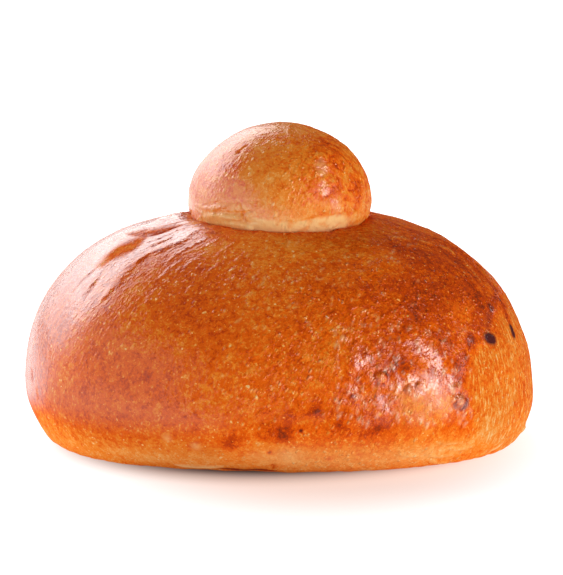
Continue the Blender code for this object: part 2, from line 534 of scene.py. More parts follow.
LEFT_FOLDS = strokes(
    "lift bake",
    (((188, 227), (176, 231), (160, 238), (146, 242)), 0.55, 0.15),
    (((184, 215), (160, 221), (135, 229), (112, 240)), 1.2, 0.15),
    (((197, 231), (182, 241), (166, 248), (150, 253), (136, 262)), 1.1, 0.25),
    (((140, 260), (128, 270), (116, 284), (102, 300)), 1.3, 0.25),
    (((140, 243), (118, 255), (100, 272), (84, 294)), 1.2, 0.20),
    (((197, 214), (180, 215), (162, 221)), 3.6, 0.55, -0.10),
)
LEFT_MATT = strokes(
    "gloss lift bake pale grit scorch",
    # Painted light: the crease left of the topknot is made paler, to lift its shade
    (((190, 213), (192, 220), (196, 227)), 0.9, -0.6, -0.10, -0.28, 0.35),
    (((198, 224), (170, 227), (140, 236), (112, 252)), 5.0, -0.32, 0, 0, 0, 0.10),
    (((168, 246), (140, 262), (112, 284)), 3.0, -0.25, 0, 0, 0, 0.06),
    # Painted shade: a thin line along the seam under the topknot's left, made nearly black
    (((207, 232.5), (219, 233.5), (232, 233)), 0.40, -0.5, -0.3, 0, 0, 0, 0.6),
)

# The broad satin sheen on the left shoulder ends at a broken line
LEFT_SHEEN = (
    (212, 226), (199, 234), (181, 245), (165, 250), (154, 256), (144, 260), (132, 268), (128, 275),
    (115, 287), (100, 305), (88, 318), (74, 332), (60, 352), (50, 376), (38, 400), (0, 400),
    (0, 200), (190, 180),
)
SHOULDER_FOLD = (
    (146, 237), (136, 239), (122, 245), (112, 250), (104, 257), (97, 265), (101, 267),
    (109, 262), (121, 257), (131, 252), (140, 245),
)
UPPER_FOLD = (
    (127, 234), (140, 231), (152, 229), (170, 226), (178, 226), (168, 231), (158, 234),
    (140, 236),
)
LEFT_PATCHES = (
    Patch(LEFT_SHEEN, 3.2, bake=0.10, gloss=0.62, grit=0.02),
    Patch(SHOULDER_FOLD, 0.9, lift=-0.18, bake=-0.14, gloss=-0.85, grit=0.3),
    Patch(UPPER_FOLD, 0.6, lift=-0.10, gloss=-0.50, grit=0.3),
)

# Where the glaze on the right is thickest and mirrors the light. The paler strokes among them are
# painted highlights: sparkles and a light pink zone.
HIGHLIGHTS = strokes(
    "gloss grit lift bake pale",
    (((405, 346), (414, 345), (425, 351), (436, 360), (441, 371)), 1.8, 0.9, -0.5),
    (((409, 376), (415, 383), (422, 394)), 1.2, 0.7, -0.3),
    (((448, 376), (454, 384), (459, 394)), 1.4, 0.9, -0.3),
    (((356, 343), (357, 356), (354, 368)), 1.5, 0, 0, 0.30),
    (((360, 345), (361, 356), (358, 367)), 1.6, 1.0, -0.5),
    (((378, 394), (380, 404), (382, 414)), 1.5, 0, 0, 0.25),
    (((380, 396), (383, 404), (385, 412)), 1.7, 1.0, -0.4),
    (((352, 386), (354, 394)), 1.2, 0.8, -0.3),
    (((430, 372), (436, 390), (440, 404)), 4.5, 0.30, -0.30, 0, 0.08),
    (((397, 374), (398, 384), (396, 394)), 0.8, 0.8, -0.3, 0.15),
    (((412, 380), (416, 388)), 1.0, 0.7),
    # Painted highlight: a broad paler zone where the reflected light shows pink
    (((398, 392), (420, 403), (448, 402)), 5.0, 0, 0, 0, -0.12, 0.14),
    (((386, 372), (400, 364), (412, 368)), 3.0, -0.2, 0, 0, 0.10),
    (((440, 352), (450, 364), (456, 374)), 3.0, -0.2, 0, 0, 0.08),
    # Painted highlights: small pale sparkles on the glaze
    (((459, 397), (463, 402)), 1.3, 0.9, 0, 0, 0, 0.25),
    (((448, 384), (452, 389), (455, 395)), 0.4, 0.6, 0, 0.10, 0, 0.5),
    (((457, 383), (459, 388)), 0.35, 0.6, 0, 0.10, 0, 0.5),
    (((452, 401), (456, 397)), 0.35, 0.6, 0, 0.08, 0, 0.5),
    (((395, 352), (384, 366), (376, 384)), 3.0, 0.15, -0.2),
)

# Short ridges that glint: upright ones in that glaze, and leaning ones above and left of it. Their
# paler colour is a painted highlight on the ridges.
GLINTS = (
    Glints(
        seed=31, count=170, low=(335, 322), high=(472, 425), lean=0.0, half=(1.5, 4.5),
        bake=0.0, pale=0.24,
    ),
    Glints(
        seed=32, count=110, low=(215, 242), high=(420, 335), lean=-1.2, half=(0.8, 2.2),
        bake=-0.16, pale=0.16,
    ),
)

# Streaks of light on the small folds below the seam, left of the middle
RIPPLES = alike(
    0.55,
    {"lift": 0.10, "gloss": 0.4},
    ((224, 236), (212, 242), (203, 248)),
    ((212, 236), (200, 241), (190, 248)),
    ((236, 241), (226, 248), (217, 257)),
    ((205, 253), (194, 260), (184, 269)),
    ((222, 262), (212, 270), (202, 279)),
    ((237, 273), (231, 280), (226, 287)),
    ((190, 246), (178, 254), (166, 263)),
    ((180, 262), (168, 270), (158, 280)),
    ((196, 280), (190, 288), (186, 296)),
    ((197, 298), (195, 304), (194, 310)),
    ((250, 247), (244, 254), (240, 262)),
    ((160, 286), (152, 294), (146, 304)),
)

# Curved stretch marks at the lower right, where the dough pulled as it rose
STRETCH_MARKS = alike(
    0.38,
    {"lift": 0.40, "bake": -0.10, "pale": 0.15},
    ((437, 441), (450, 444), (464, 442)),
    ((424, 452), (436, 457), (449, 455)),
    ((428, 459), (439, 463), (451, 461)),
    ((446, 448), (458, 450), (468, 448)),
    ((396, 452), (408, 456), (418, 455)),
)

# Long lines of light along the right shoulder: raised glossy ridges, painted paler and less brown
# as painted highlights
SHOULDER_GLINTS = alike(
    0.45,
    {"lift": 0.45, "bake": -0.26, "pale": 0.08, "gloss": 0.6},
    ((386, 235), (400, 237), (412, 239)),
    ((415, 238), (424, 241), (432, 244)),
    ((436, 245), (446, 249), (455, 255)),
    ((462, 259), (473, 271), (483, 285)),
)

# Browning, paleness, gloss and burnt tints over wide areas of the bun, with some painted light and
# painted shade
BUN_WASHES = strokes(
    "bake pale gloss scorch",
    (((395, 245), (440, 262), (478, 300)), 13.0, 0.18),
    (((370, 290), (420, 320), (455, 345)), 11.0, 0.12),
    # Painted light: the crust under the seam is made paler, standing in for light from above
    (((215, 250), (290, 255), (340, 250)), 8.0, -0.08),
    (((110, 450), (200, 458), (300, 460), (400, 455), (470, 445)), 5.0, -0.09, 0.05),
    (((250, 456), (310, 460), (380, 457), (440, 450)), 4.0, 0, 0.15),
    (((50, 390), (85, 420), (140, 442), (210, 452)), 9.0, 0, 0, 0, 0.14),
    (((395, 448), (440, 446), (480, 436)), 4.0, -0.05),
    (((470, 440), (500, 420), (515, 395)), 6.0, -0.08, 0, 0, 0.05),
    # Less gloss under the seam, and a little paler as painted light
    (((215, 250), (290, 246), (350, 244)), 6.0, -0.02, 0, -0.18),
    (((365, 360), (400, 380), (440, 388)), 11.0, 0.05),
    (((450, 250), (490, 282), (512, 310)), 6.0, 0.05),
    # A darker band along the upper right outline: browner crust, and painted shade where the
    # surface falls away beyond the fold's crest
    (((378, 219), (415, 230), (452, 248), (484, 275), (506, 306)), 2.2, 0.12),
    # A lighter band below that crest, as painted light
    (((385, 240), (425, 247), (460, 266), (482, 292)), 1.6, -0.12),
    (((485, 290), (497, 310)), 5.0, 0.04),
    (((345, 250), (325, 300)), 12.0, 0.03),
    (((186, 268), (202, 300), (205, 345)), 9.0, 0.02, 0, 0.10),
    ((289, 457), 2.6, 0, 0.25),
)

# Spots that browned more than the crust round them, and two small pits darkened as painted shade
BROWNED_SPOTS_AND_SHADED_PITS = strokes(
    "bake lift",
    ((230, 444), 1.7, 0.26),
    ((241, 436), 1.6, 0.12),
    ((283, 435), 1.8, 0.28),
    (((277, 424), (263, 440)), 3.0, 0.12),
    ((289, 419), 1.4, 0.14),
    ((317, 411), 1.3, 0.30),
    ((339, 428), 1.5, 0.16),
    ((375, 431), 2.6, 0.20),
    ((328, 459), 0.8, 0.30),
    ((457, 262), 3.0, 0.10),
    ((413, 302), 3.0, 0.08),
    # Painted shade: two small pits, darkened inside
    ((269, 453), 0.5, 0.60, -0.2),
    ((301, 431), 0.4, 0.60, -0.2),
)

# The torn rim of the foot, pale flakes above it, and the right shoulder's bulge and notch
EDGE_MARKS = strokes(
    "lift pale bake scorch gloss",
    (((176, 466), (198, 467.5), (222, 468)), 0.9, 0.15, 0.9, 0, 0, -0.3),
    # The underside edge below the lifted front of the foot: browned underside, darkened further as
    # painted shade of the gap
    (((218, 469.5), (245, 471), (276, 471)), 0.6, 0, 0, 0.3, 0.75),
    # A notch in the rim, darkened as painted shade
    (((273, 464), (273, 470)), 0.5, -0.5, 0, 0.25),
    (((438, 466), (462, 462), (484, 454), (503, 443)), 0.7, 0.20, 0.85),
    (((520, 431), (525, 427)), 0.8, 0.5, 0.4),
    ((167, 438), 0.9, 0.15, 0.35),
    ((196, 446), 1.0, 0.15, 0.40),
    (((430, 236), (452, 247), (471, 259)), 2.0, 0.45),
    (((476, 263), (484, 273)), 1.5, -0.35),
)

# Where the egg wash stopped on the right: lighter, matt and streaked beyond the drips
UNGLAZED = (
    (505, 292), (499, 312), (496, 330), (494, 346), (482, 348), (472, 358), (468, 384), (474, 408),
    (480, 440), (560, 470), (560, 292),
)
GLAZE_DRIPS = strokes(
    "edge bake scorch lift gloss grit streak",
    (((497, 288), (491, 308), (487, 326)), 1.5, 2.0, 0.12, 0, 0, 0.2),
    (((500, 300), (505, 312), (510, 325)), 1.7, 2.0, 0.22, 0, 0, 0.2, 0, -0.9),
    ((490.5, 308), 1.2, 4.0, 0.18, 0.12, 0.15, 0.3),
    ((487.7, 338), 1.35, 4.0, 0, 1.10, 0.12),
    ((492.3, 339), 1.45, 4.0, 0, 1.10, 0.12),
    (((490, 312), (487, 322), (489, 334)), 1.3, 2.0, 0, 0.30, 0, 0.2),
    ((510.8, 328), 0.95, 4.0, 0, 1.10, 0.12),
    ((512.8, 334), 1.15, 4.0, 0, 1.10, 0.12),
    (((482, 306), (475, 326), (469, 344)), 2.4, 2.0, 0.16, 0, 0, 0.1),
    ((470, 342), 1.6, 4.0, 0.14, 0.12, 0.10, 0, -0.3),
    (((465, 352), (462, 366), (460, 384)), 2.0, 2.0, 0.18, 0, 0, 0.1),
    (((461, 409), (467, 405), (468, 398)), 0.7, 3.0, 0, 0.70, 0, 0.4),
    (((453, 404), (458, 408)), 0.6, 3.0, 0, 0.45, 0, 0.4),
)

# Bubbles in the glaze on the right, some burnt
BLISTERS = (
    Blister((381, 378), 1.35, 0.65, -0.16, 0.0, 0.22),
    Blister((461, 401), 1.5, 0.55, 0.04, 0.00, 0.16),
    Blister((454, 399), 1.0, 0.35, 0.05, 0.00, 0.08),
    Blister((456, 388), 1.1, 0.30, 0.02, 0.00, 0.05),
    Blister((408, 390), 1.1, 0.30, 0.16, 0.20, 0.14),
    Blister((418, 386), 1.0, 0.30, 0.10, 0.05, 0.12),
    Blister((353, 397), 0.6, 0.12, 0.14, 0.05, 0.12),
    Blister((392, 400), 1.2, 0.22, 0.02, 0.0, 0.05),
    Blister((386, 412), 1.0, 0.20, 0.02, 0.0, 0.05),
    Blister((366, 357), 0.8, 0.18, 0.0, 0.0, 0.03),
    Blister((343, 402), 0.8, 0.18, 0.0, 0.0, 0.03),
)

# The topknot's bulges, creases and browned places, and the folded flap at its lower left. A pit and
# some creases are darkened as painted shade; the crease at the left base is made paler as painted
# light.
KNOT_WORK = strokes(
    "lift bake gloss pale grit edge",
    ((324, 148), 5.0, 0.7),
    ((216, 146), 5.5, -0.7),
    ((323, 157), 2.6, 0.40),
    # A small pit, darkened as painted shade
    ((238, 152), 0.5, -0.3, 0.15, -0.4),
    (((239, 150), (243, 147), (248, 144)), 0.40, -0.14, 0, -0.3),
    # A crease, darkened a little as painted shade
    (((203, 206), (212, 203), (231, 202), (260, 201)), 0.45, -0.20, 0.03),
    (((199, 222), (215, 222), (234, 225), (250, 228)), 2.2, 0.45, -0.12, -0.45, 0.36, 0, 3.0),
    (((205, 214), (222, 215), (240, 220)), 0.6, 0.25, 0, 0, 0.20),
    (((200, 219), (214, 219), (232, 221)), 0.4, -0.25, 0, -0.4),
    (((196, 208), (206, 216), (212, 226)), 0.5, 0.20, 0, 0, 0.15),
    (((204, 210), (203, 218), (207, 227)), 0.4, -0.22, 0, -0.4),
    (((216, 206), (217, 214), (223, 226)), 0.4, -0.15, 0, -0.3),
    (((204, 212), (225, 216), (252, 217)), 3.4, 0, -0.12, -0.30, 0, 0.12),
    (((196, 205), (210, 209), (227, 207)), 0.5, 0.28, 0, 0, 0.12),
    # Creases in the flap, darkened a little as painted shade
    (((213, 212), (232, 214), (253, 211)), 0.4, -0.28, 0.05),
    (((241, 203), (243, 213), (247, 224)), 0.4, -0.28, 0.05),
    (((223, 219), (238, 222), (257, 223)), 0.4, -0.22, 0.05),
    # Painted light: the crease at the topknot's left base is made paler, to lift its shade
    (((192, 211), (190, 217), (193, 226)), 0.7, -0.6, -0.25, -0.5, 0.2),
    (((353, 212), (358, 219), (352, 229)), 1.2, 0.30, -0.06),
    (((290, 126), (289, 134), (291, 146)), 0.6, 0.18),
    (((203, 166), (199, 182), (196, 198)), 0.9, 0.15),
    ((335, 165), 0.9, 0, 0.22),
    ((338, 188), 1.1, 0, 0.12),
    (((352, 176), (357, 190), (360, 204)), 2.6, 0, 0.14),
    (((310, 140), (330, 152), (346, 170)), 4.0, 0, 0.08),
)
# Highlight patches on the topknot's right: glossy glaze, and the first also painted paler as a
# painted highlight
KNOT_HIGHLIGHTS = strokes(
    "edge gloss grit pale",
    (((321, 161), (322, 176)), 1.6, 3.0, 0.90, -0.2, 0.20),
    (((323, 181), (325, 196)), 1.4, 3.0, 0.60, -0.2),
    (((332, 200), (340, 211)), 1.3, 3.0, 0.45, -0.1),
)


def press_seam(skin):
    """Sinks the bun's crown under the topknot, and rounds it down a little into the seam."""
    local = skin.points - np.array(KNOT_CENTRE)
    across = np.hypot(local[:, 0] / KNOT_HALF_WIDTH, local[:, 1] / KNOT_HALF_DEPTH)
    beyond = (across - 1) * KNOT_HALF_WIDTH
    tuck = (1 - across.clip(0, 1) ** KNOT_TUCK_EXPONENT) ** (1 / KNOT_TUCK_EXPONENT)
    hollow = np.where(beyond < 0, KNOT_CENTRE.z - KNOT_SUNK * tuck - SEAM_GAP, np.inf)
    dip = SEAM_DIP * np.exp(-(((beyond + SEAM_GAP).clip(0) / SEAM_DIP_WIDTH) ** 1.5))
    height = np.minimum(skin.points[:, 2] - dip, hollow)
    crown = skin.points[:, 2] > CROWN_FROM
    skin.points[crown, 2] = height[crown]


def lift_foot(skin):
    """Raises the front of the foot a little off the table, where the dough curled as it baked."""
    x, y, z = skin.points.T
    side = smooth_step(x, -34 * MM, -27 * MM) * smooth_step(x, 0.5 * MM, -3 * MM)
    front = smooth_step(y, -28 * MM, -37 * MM)
    skin.points[:, 2] += FOOT_GAP * side * front * smooth_step(z, 5 * MM, 1 * MM)


def set_values(node, values):
    """Sets the values of a node's inputs by their names."""
    for name, value in values.items():
        node.inputs[name].default_value = value


def add_node(tree, kind, inputs=None, links=None, **settings):
    """Adds a shader node, sets its options and input values, and links inputs to other sockets."""
    node = tree.nodes.new(kind)
    for name, value in settings.items():
        setattr(node, name, value)
    set_values(node, inputs or {})
    for name, socket in (links or {}).items():
        tree.links.new(socket, node.inputs[name])
    return node


def math_node(tree, operation, first, second=0.5, clamp=False):
    """The result of a calculation with sockets or plain numbers."""
    node = tree.nodes.new("ShaderNodeMath")
    node.operation = operation
    node.use_clamp = clamp
    for socket, value in zip(node.inputs, (first, second)):
        if isinstance(value, (int, float)):
            socket.default_value = value
        else:
            tree.links.new(value, socket)
    return node.outputs[0]


def times(tree, first, second):
    """One value times another."""
    return math_node(tree, "MULTIPLY", first, second)


def clamped(tree, value):
    """The value held between 0 and 1."""
    return math_node(tree, "ADD", value, 0.0, True)


def add_scaled(tree, total, *parts):
    """The total plus each part's value times its share."""
    for value, share in parts:
        total = math_node(tree, "ADD", total, times(tree, value, share))
    return total


def attribute(tree, field, output="Fac"):
    """What the skin carries in one of its fields."""
    return add_node(tree, "ShaderNodeAttribute", attribute_name=field).outputs[output]


def noise_node(tree, vector, length, detail, roughness=0.5, distortion=0.0):
    """A noise texture with lumps of this length in metres."""
    values = {
        "Scale": 1 / length, "Detail": detail, "Roughness": roughness, "Distortion": distortion
    }
    node = add_node(tree, "ShaderNodeTexNoise", values, {"Vector": vector})
    return node.outputs["Fac"]


def centred(tree, value, amount):
    """A noise's output moved to lie round 0, and scaled."""
    return times(tree, math_node(tree, "SUBTRACT", value, 0.5), amount)


def map_range(tree, value, low, high, to_low=0.0, to_high=1.0):
    """The value moved smoothly from the first range to the second."""
    values = {"From Min": low, "From Max": high, "To Min": to_low, "To Max": to_high}
    node = add_node(
        tree, "ShaderNodeMapRange", values, {"Value": value}, interpolation_type="SMOOTHSTEP"
    )
    return node.outputs["Result"]


def mix_colour(tree, share, first, second):
    """A colour between two, which are sockets or plain colours."""
    node = add_node(tree, "ShaderNodeMix", data_type="RGBA")
    share_socket, first_socket, second_socket = (node.inputs[index] for index in (0, 6, 7))
    tree.links.new(share, share_socket)
    for socket, colour in ((first_socket, first), (second_socket, second)):
        if isinstance(colour, tuple):
            socket.default_value = (*colour, 1.0)
        else:
            tree.links.new(colour, socket)
    return node.outputs[2]


def speck_layer(tree, vector, length, share):
    """Pale dots of uneven size and strength in a share of a grid's loose cells."""
    cells = add_node(tree, "ShaderNodeTexVoronoi", {"Scale": 1 / length}, {"Vector": vector})
    parts = add_node(tree, "ShaderNodeSeparateColor", None, {"Color": cells.outputs["Color"]})
    kept = map_range(tree, parts.outputs["Red"], 1 - share, 1.0)
    size = times(tree, parts.outputs["Green"], 0.17)
    nearness = math_node(tree, "SUBTRACT", size, cells.outputs["Distance"])
    dot = map_range(tree, nearness, -0.12, 0.06)
    return times(tree, dot, kept)


def crust_group():
    """Shader group: the mottled browning and pale specks that every baked crust has."""
    group = bpy.data.node_groups.new(GRAIN_GROUP, "ShaderNodeTree")
    sockets = group.interface
    for name, value in (("Grain Size", 1.0), ("Speck Share", 0.5)):
        socket = sockets.new_socket(name, in_out="INPUT", socket_type="NodeSocketFloat")
        socket.default_value = value
    for name in ("Browning", "Specks"):
        sockets.new_socket(name, in_out="OUTPUT", socket_type="NodeSocketFloat")
    given = group.nodes.new("NodeGroupInput")
    result = group.nodes.new("NodeGroupOutput")
    place = add_node(group, "ShaderNodeTexCoord").outputs["Object"]
    size_links = {0: place, "Scale": given.outputs["Grain Size"]}
    sized = add_node(group, "ShaderNodeVectorMath", None, size_links, operation="SCALE")
    vector = sized.outputs[0]

    broad = centred(group, noise_node(group, vector, 9 * MM, 3, 0.55), 0.28)
    middle = centred(group, noise_node(group, vector, 1.8 * MM, 4, 0.6, 0.5), 0.60)
    fine = centred(group, noise_node(group, vector, 0.6 * MM, 2, 0.7), 0.42)
    torn = map_range(group, noise_node(group, vector, 1.0 * MM, 3, 0.7, 1.6), 0.55, 0.68)
    browning = math_node(group, "ADD", broad, math_node(group, "ADD", middle, fine))
    browning = add_scaled(group, browning, (torn, -0.20))

    # The specks' grid is shaken, so that they don't stand in rows
    shake_values = {"Scale": 700.0, "Detail": 1.0}
    shaken = add_node(group, "ShaderNodeTexNoise", shake_values, {"Vector": vector})
    reach = {1: (1.2 * MM, 1.2 * MM, 1.2 * MM)}
    shaken = {0: shaken.outputs["Color"]}
    shift = add_node(group, "ShaderNodeVectorMath", reach, shaken, operation="MULTIPLY")
    both = {0: vector, 1: shift.outputs[0]}
    loose = add_node(group, "ShaderNodeVectorMath", None, both, operation="ADD").outputs[0]
    small = speck_layer(group, loose, 1.0 * MM, 0.70)
    large = speck_layer(group, loose, 1.9 * MM, 0.30)
    specks = math_node(group, "MAXIMUM", small, large)
    specks = times(group, specks, given.outputs["Speck Share"])
    group.links.new(browning, result.inputs["Browning"])
    group.links.new(specks, result.inputs["Specks"])


# Crust colours from pale dough through gold and red-brown to burnt
CRUST_RAMP = (
    (0.00, (0.90, 0.55, 0.22)),
    (0.20, (0.89, 0.36, 0.072)),
    (0.38, (0.84, 0.225, 0.016)),
    (0.54, (0.76, 0.110, 0.0015)),
    (0.70, (0.53, 0.052, 0.0010)),
    (0.86, (0.24, 0.030, 0.0060)),
    (1.00, (0.08, 0.014, 0.0100)),
)
# Colour of pale dough, also put on glints and sparkles as painted highlights
PALE_DOUGH_AND_HIGHLIGHT = (0.95, 0.61, 0.26)
BUN_COAT_ROUGHNESS = 0.13
KNOT_COAT_ROUGHNESS = 0.23
# Colour of burnt glaze, also put in the seam and under the foot's front as painted shade
BURNT_GLAZE_AND_SHADE = (0.080, 0.014, 0.014)


def ramp_node(tree, value, stops):
    """The colour that the value, from 0 to 1, has in a ramp of colours."""
    ramp = add_node(tree, "ShaderNodeValToRGB", None, {"Fac": value})
    ramp.color_ramp.interpolation = "EASE"
    elements = ramp.color_ramp.elements
    while len(elements) < len(stops):
        elements.new(0.5)
    for element, (position, colour) in zip(elements, stops):
        element.position = position
        element.color = (*colour, 1.0)
    return ramp.outputs["Color"]


def crust_colour(tree, bake, speck_share, streaks, pimples):
    """How brown the crust is, with pale dough and burnt glaze where the skin says so, which at some
    strokes are painted highlights and painted shade.
    """
    grain = add_node(tree, "ShaderNodeGroup", node_tree=bpy.data.node_groups[GRAIN_GROUP])
    set_values(grain, {"Grain Size": 1.0, "Speck Share": speck_share})
    level = math_node(tree, "ADD", attribute(tree, "bake"), bake)
    level = math_node(tree, "ADD", level, grain.outputs["Browning"])
    # The pimples' tops are made paler as a painted highlight, as if lit
    paler = ((grain.outputs["Specks"], -0.80), (streaks, -0.22), (pimples, -0.17))
    colour = ramp_node(tree, add_scaled(tree, level, *paler), CRUST_RAMP)
    for field, over in (("pale", PALE_DOUGH_AND_HIGHLIGHT), ("scorch", BURNT_GLAZE_AND_SHADE)):
        colour = mix_colour(tree, clamped(tree, attribute(tree, field)), colour, over)
    return colour


def crust_gloss(tree, grit, pimples):
    """How thick the egg wash is: what the skin says, uneven over the pimples where it is gritty."""
    gloss = clamped(tree, attribute(tree, "gloss"))
    polish = times(tree, math_node(tree, "SUBTRACT", pimples, 0.3), grit)
    return math_node(tree, "ADD", gloss, times(tree, polish, 0.9), True)


def crust_relief(tree, place, leaning, grit, pimples, streaks):
    """Height of the finest bumps: pebbles, pimples and ridges where it is gritty, and streaks."""
    pebble = times(tree, noise_node(tree, place, 0.9 * MM, 2, 0.6), 0.8)
    ridges = map_range(tree, noise_node(tree, leaning, 0.9 * MM, 2, 0.5), 0.42, 0.74)
    pebble = add_scaled(tree, pebble, (pimples, 1.1), (ridges, 0.8))
    rough = times(tree, pebble, grit)
    fine = noise_node(tree, place, 0.40 * MM, 1)
    return add_scaled(tree, rough, (fine, 0.16), (streaks, 0.20))


def crust_material(name, bake, relief_height, speck_share, coat_roughness):
    """Baked crust under a coat of egg wash; the skin's fields say how it changes over the roll."""
    material = bpy.data.materials.new(name)
    material.use_nodes = True
    tree = material.node_tree
    shader = tree.nodes["Principled BSDF"]
    set_values(
        shader, {"Specular IOR Level": 0.05, "Coat Roughness": coat_roughness, "Coat IOR": 1.95}
    )
    place = add_node(tree, "ShaderNodeTexCoord").outputs["Object"]
    leaning = add_node(
        tree,
        "ShaderNodeMapping",
        {"Rotation": (0.0, math.radians(28), 0.0), "Scale": (1.0, 1.0, 1.9)},
        {"Vector": place},
        vector_type="TEXTURE",
    ).outputs[0]
    cells = add_node(tree, "ShaderNodeTexVoronoi", {"Scale": 1 / MM}, {"Vector": leaning})
    pimples = map_range(tree, cells.outputs["Distance"], 0.42, 0.06)
    sparse = map_range(tree, noise_node(tree, place, 1.9 * MM, 1), 0.45, 0.62)
    pimples = times(tree, pimples, sparse)
    drawn = attribute(tree, "drawn", "Vector")
    streaks = map_range(tree, noise_node(tree, drawn, 0.5 * MM, 1), 0.50, 0.72)
    streaks = times(tree, streaks, attribute(tree, "streak"))
    grit = math_node(tree, "ADD", attribute(tree, "grit"), 0.10, True)

    colour = crust_colour(tree, bake, speck_share, streaks, pimples)
    tree.links.new(colour, shader.inputs["Base Color"])
    gloss = crust_gloss(tree, grit, pimples)
    facing = add_node(tree, "ShaderNodeLayerWeight", {"Blend": 0.5}).outputs["Facing"]
    dull_edge = map_range(tree, facing, 0.84, 1.0, 1.0, 0.42)
    tree.links.new(times(tree, gloss, dull_edge), shader.inputs["Coat Weight"])
    tree.links.new(map_range(tree, gloss, 0.1, 0.8, 0.85, 0.50), shader.inputs["Roughness"])
    relief = crust_relief(tree, place, leaning, grit, pimples, streaks)
    heights = {"Strength": 1.0, "Distance": relief_height}
    bump = add_node(tree, "ShaderNodeBump", heights, {"Height": relief}).outputs["Normal"]
    tree.links.new(bump, shader.inputs["Normal"])
    tree.links.new(bump, shader.inputs["Coat Normal"])
    return material


def factor(name, description, default):
    """A setting that runs from 0 to 1."""
    return FloatProperty(
        name=name, description=description, default=default, min=0.0, max=1.0, subtype="FACTOR"
    )


def lamp_power(name, description, default):
    """A setting for a lamp's power in watts."""
    return FloatProperty(name=name, description=description, default=default, unit="POWER")


class RollSettings(bpy.types.PropertyGroup):
    """What a user may change on the roll."""

    bake_level: factor(
        "Bake", "How brown the crust is, from 0, pale dough, to 1, nearly burnt", 0.54
    )
    relief_height: FloatProperty(
        name="Crust Relief",
        description="Height of the crust's finest bumps",
        default=0.30 * MM,
        unit="LENGTH",
        subtype="DISTANCE",
    )
    speck_share: factor("Specks", "How strongly pale specks show in the crust", 0.7)


class StageSettings(bpy.types.PropertyGroup):
    """What a user may change on the studio."""

    key_power: lamp_power(
        "Left Softbox", "Power of the softbox behind the roll's left side", 7.0
    )
    fill_power: lamp_power(
        "Right Softbox", "Power of the softboxes in front of the roll's right side", 5.0
    )
    reflector_power: lamp_power(
        "Left Reflector", "Power of the large dim reflector at the roll's left", 2.9
    )
    room_colour: FloatVectorProperty(
        name="Room",
        description="Colour of the light that comes from all round",
        default=(0.045, 0.045, 0.045),
        subtype="COLOR",
    )


def bake_skin(skin, name, node, settings, paler, speck_part, coat_roughness):
    """Gives a worked skin its crust, and makes the piece that stands for one solid."""
    material = crust_material(
        name + "_baked",
        settings.bake_level - paler,
        settings.relief_height,
        speck_part * settings.speck_share,
        coat_roughness,
    )
    finish_skin(skin, name, node, material)


def shape_bun(skin):
    """Spreads the bun's egg wash, grit and browning, and swells it unevenly."""
    x, y, z = skin.points.T
    fields = skin.fields
    right = smooth_step(x, -25 * MM, 12 * MM)
    glazed = smooth_step(x, -2 * MM, 14 * MM) * smooth_step(z, 8 * MM, 15 * MM)
    back = smooth_step(y, 2 * MM, 20 * MM) * smooth_step(z, 12 * MM, 20 * MM)
    left = smooth_step(x, 0, -20 * MM) * smooth_step(z, 8 * MM, 15 * MM)
    front = smooth_step(x, -28 * MM, -8 * MM) * smooth_step(z, 8 * MM, 20 * MM)
    wash = np.max([0.34 * left, 0.30 * front, 0.32 * glazed, 0.6 * back], axis=0)
    uneven_glaze = smooth_step(noise_field(skin.points, 3.0 * MM, seed=27), -0.15, 0.20)
    fields["gloss"] += 0.06 + wash * (1 - 0.6 * right * uneven_glaze)
    smooth_spots = smooth_step(noise_field(skin.points, 6 * MM, seed=17), 0.35, -0.25)
    fields["grit"] += 0.12 + 0.28 * right + 0.20 * right * smooth_spots
    fields["bake"] -= 0.14 * smooth_step(z, 12 * MM, 3 * MM)
    swell(skin, 0.5 * MM, 24 * MM, seed=0)
    swell(skin, 0.40 * MM * right, 11 * MM, seed=10)
    swell(skin, 0.04 * MM + 0.10 * MM * right, 4.5 * MM, seed=11)
    swell(skin, 0.045 * MM * right * smooth_spots, 1.8 * MM, seed=12)
    rim = smooth_step(z, 4 * MM, 1.5 * MM) * smooth_step(z, 0, 0.5 * MM)
    fields["lift"] += 0.22 * MM * rim * noise_field(skin.points, 2.6 * MM, seed=28)
    drawn_out = noise_field(skin.drawn, 1.6 * MM, seed=25)
    fields["lift"] += 0.12 * MM * right * smooth_step(z, 5 * MM, 14 * MM) * drawn_out


def mark_bun(skin):
    """Works what the photograph shows on the bun into its skin, then its finest bubbles."""
    draw_strokes(skin, HIGHLIGHTS)
    for glints in GLINTS:
        scatter_glints(skin, glints)
    draw_strokes(skin, LEFT_GROOVES + LEFT_FOLDS + LEFT_MATT)
    lay_patches(skin, LEFT_PATCHES)
    draw_strokes(skin, RIPPLES + STRETCH_MARKS + SHOULDER_GLINTS)
    draw_strokes(skin, BUN_WASHES + BROWNED_SPOTS_AND_SHADED_PITS + EDGE_MARKS)
    bare = Patch(UNGLAZED, 1.2, bake=-0.05, gloss=-0.6, scorch=0.12, grit=-0.2, streak=1.2)
    lay_patches(skin, (bare,))
    draw_strokes(skin, GLAZE_DRIPS)
    for blister in BLISTERS:
        raise_blister(skin, spot(skin, blister.pixel), blister)
    heading = math.radians(206)
    ripple_fan(skin, (205, 256), 15 * MM, heading, 1.7 * MM, 7 * MM, 0.08 * MM, seed=3)
    ripple_fan(skin, (130, 262), 20 * MM, heading, 3.6 * MM, 9 * MM, 0.05 * MM, seed=4)
    x, y, z = skin.points.T
    visible = smooth_step(z, 1 * MM, 6 * MM)
    scatter_blisters(skin, 900, 5, 0.40 * MM, 0.8 * MM, 0.09 * MM, visible)
    glazed_right = visible * smooth_step(x, 0, 20 * MM) * smooth_step(-y, 10 * MM, 30 * MM)
    scatter_blisters(skin, 220, 6, 0.35 * MM, 0.7 * MM, 0.15 * MM, glazed_right)


